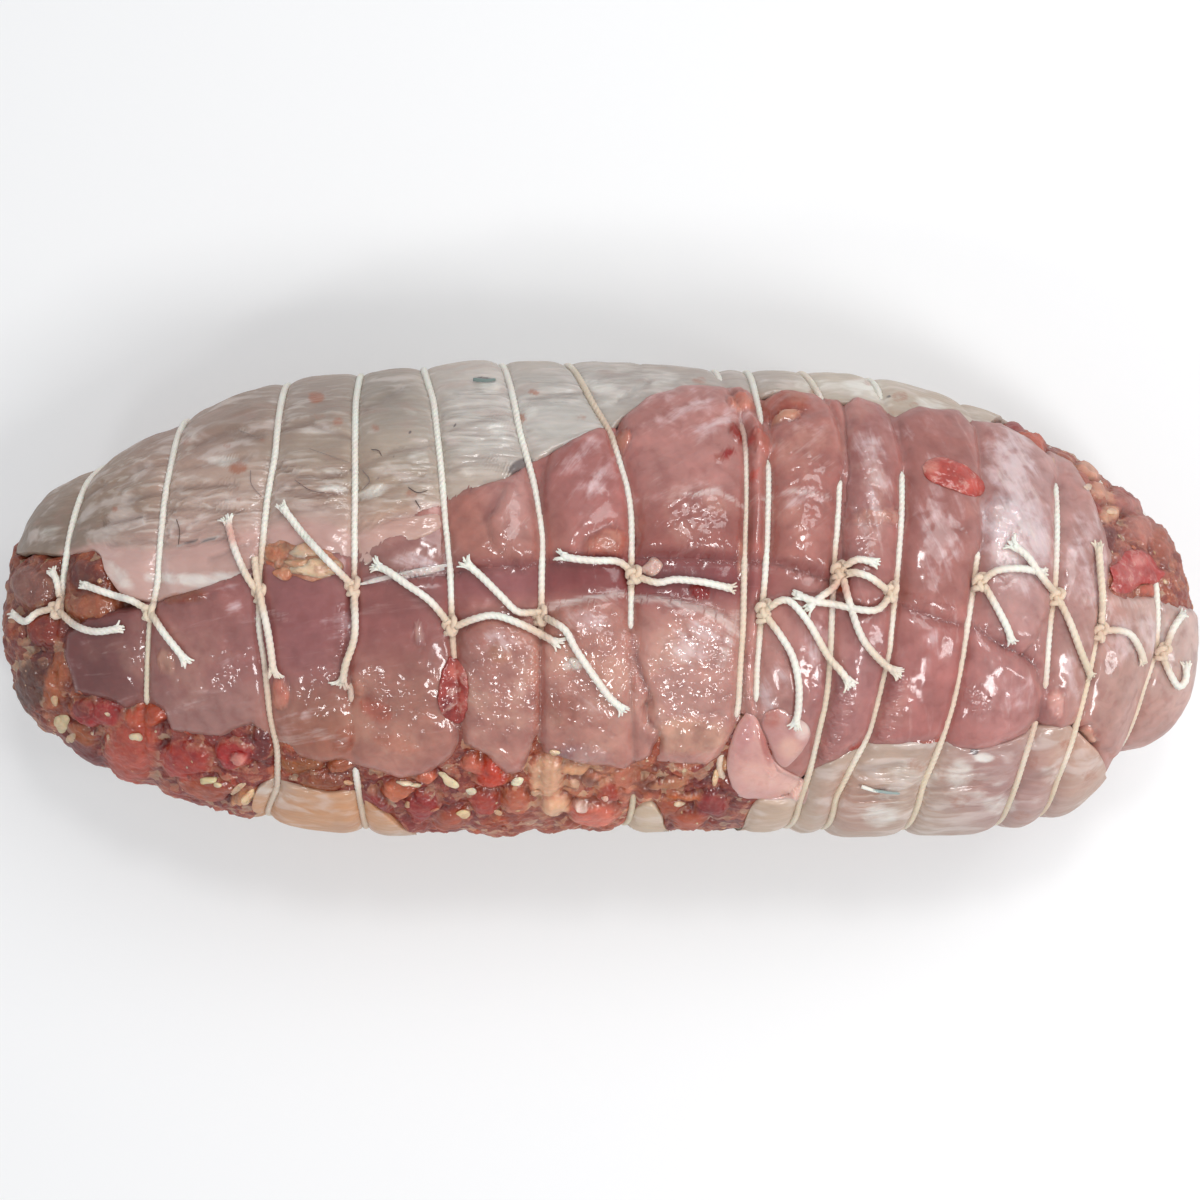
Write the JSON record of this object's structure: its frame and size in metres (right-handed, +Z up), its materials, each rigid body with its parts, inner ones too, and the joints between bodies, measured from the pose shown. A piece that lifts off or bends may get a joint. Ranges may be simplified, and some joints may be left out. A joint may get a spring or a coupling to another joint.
{
  "type": "capon roast",
  "caption": "Raw boned capon, stuffed, rolled in its own skin and tied with loops of butcher's twine, lying on its side seam and ready for the oven.",
  "frame": {"origin": "centre of the bounding box at its base, on the surface that the roast rests on", "axes": "+X along the roast towards the end where the loose meat is smoothest (right in the picture), +Y towards the side that the skin covers (up in the picture), +Z up, to the knots"},
  "size_m": [0.3031, 0.1187, 0.1019],
  "materials": {
    "skin": "raw poultry skin, moist, pale grey-beige with fine wrinkles and pores",
    "meat": "raw dark poultry meat, wet and glossy, with fine fibres and pale fascia",
    "stuffing": "coarse minced stuffing, brick red with fat and cream bits, moist",
    "scrap": "small scrap of red meat, wet and glossy",
    "fat": "soft poultry fat, moist",
    "twine": "twisted cotton butcher's twine, cream, stained near the knots"
  },
  "bodies": {
    "root": {"skin": "skin", "meat": "meat", "stuffing": "stuffing", "meat_flap": "meat", "red_scrap_front": "scrap", "red_scrap_top": "scrap", "red_scrap_end": "scrap", "fat_scrap": "fat", "string_01": "twine", "string_02": "twine", "string_03": "twine", "string_04": "twine", "string_05": "twine", "string_06": "twine", "string_07": "twine", "string_08": "twine", "string_09": "twine", "string_10": "twine", "string_11": "twine", "string_12": "twine", "string_13": "twine", "string_14": "twine", "string_15": "twine"}
  },
  "joints": []
}
